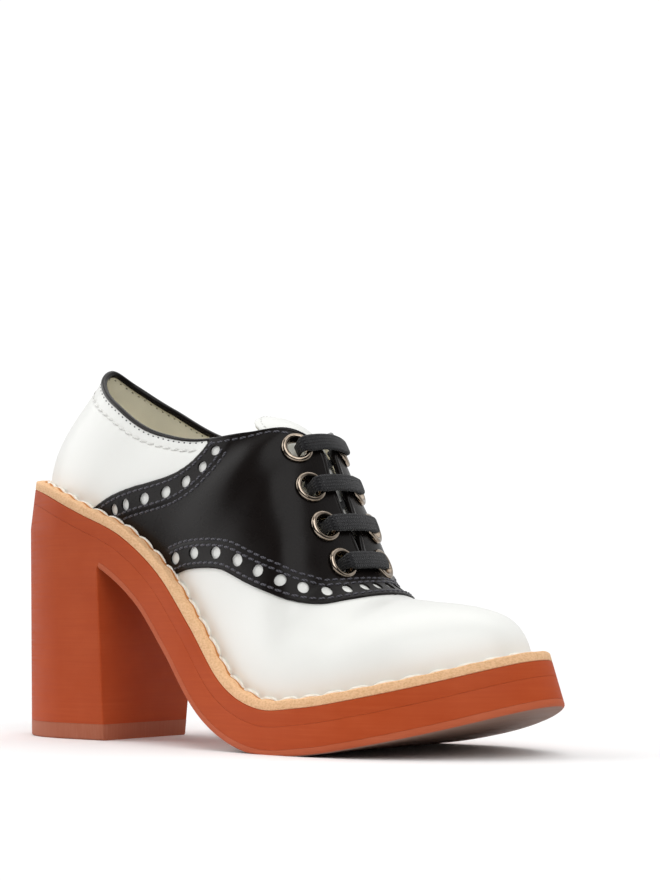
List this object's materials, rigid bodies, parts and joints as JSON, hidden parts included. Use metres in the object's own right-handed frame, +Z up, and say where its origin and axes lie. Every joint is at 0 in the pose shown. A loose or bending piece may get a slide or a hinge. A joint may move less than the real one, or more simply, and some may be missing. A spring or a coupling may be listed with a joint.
{
  "type": "lace-up pump",
  "caption": "Right lace-up pump on a tall block heel and platform sole with a natural welt, white leather upper, black saddle overlay, metal eyelets and a flat black lace.",
  "frame": {"origin": "bottom centre of the shoe's box, on the floor that heel and forefoot stand on", "axes": "+X from heel to toe, +Y to the inner side of the foot, +Z up from the floor"},
  "size_m": [0.2372, 0.088, 0.1444],
  "materials": {
    "rust_sole": "matt rust-red moulded sole",
    "heel_tip": "matt brown wear piece",
    "natural_welt": "raw natural leather strip",
    "insole_leather": "plain grey-beige lining leather",
    "white_leather": "smooth white leather, polished",
    "black_leather": "smooth black leather, semi-gloss",
    "eyelet_metal": "antique nickel",
    "lace": "flat braided cotton, black"
  },
  "bodies": {
    "root": {"midsole": "rust_sole", "platform": "rust_sole", "outsole": "rust_sole", "heel": "rust_sole", "heel_top_piece": "heel_tip", "welt": "natural_welt", "insole": "insole_leather", "upper": "white_leather", "tongue": "white_leather", "saddle": "black_leather", "collar_binding": "black_leather", "eyelet_outer_1": "eyelet_metal", "eyelet_outer_2": "eyelet_metal", "eyelet_outer_3": "eyelet_metal", "eyelet_outer_4": "eyelet_metal", "eyelet_inner_1": "eyelet_metal", "eyelet_inner_2": "eyelet_metal", "eyelet_inner_3": "eyelet_metal", "eyelet_inner_4": "eyelet_metal", "lace_bar_1": "lace", "lace_bar_2": "lace", "lace_bar_3": "lace", "lace_bar_4": "lace"}
  },
  "joints": []
}
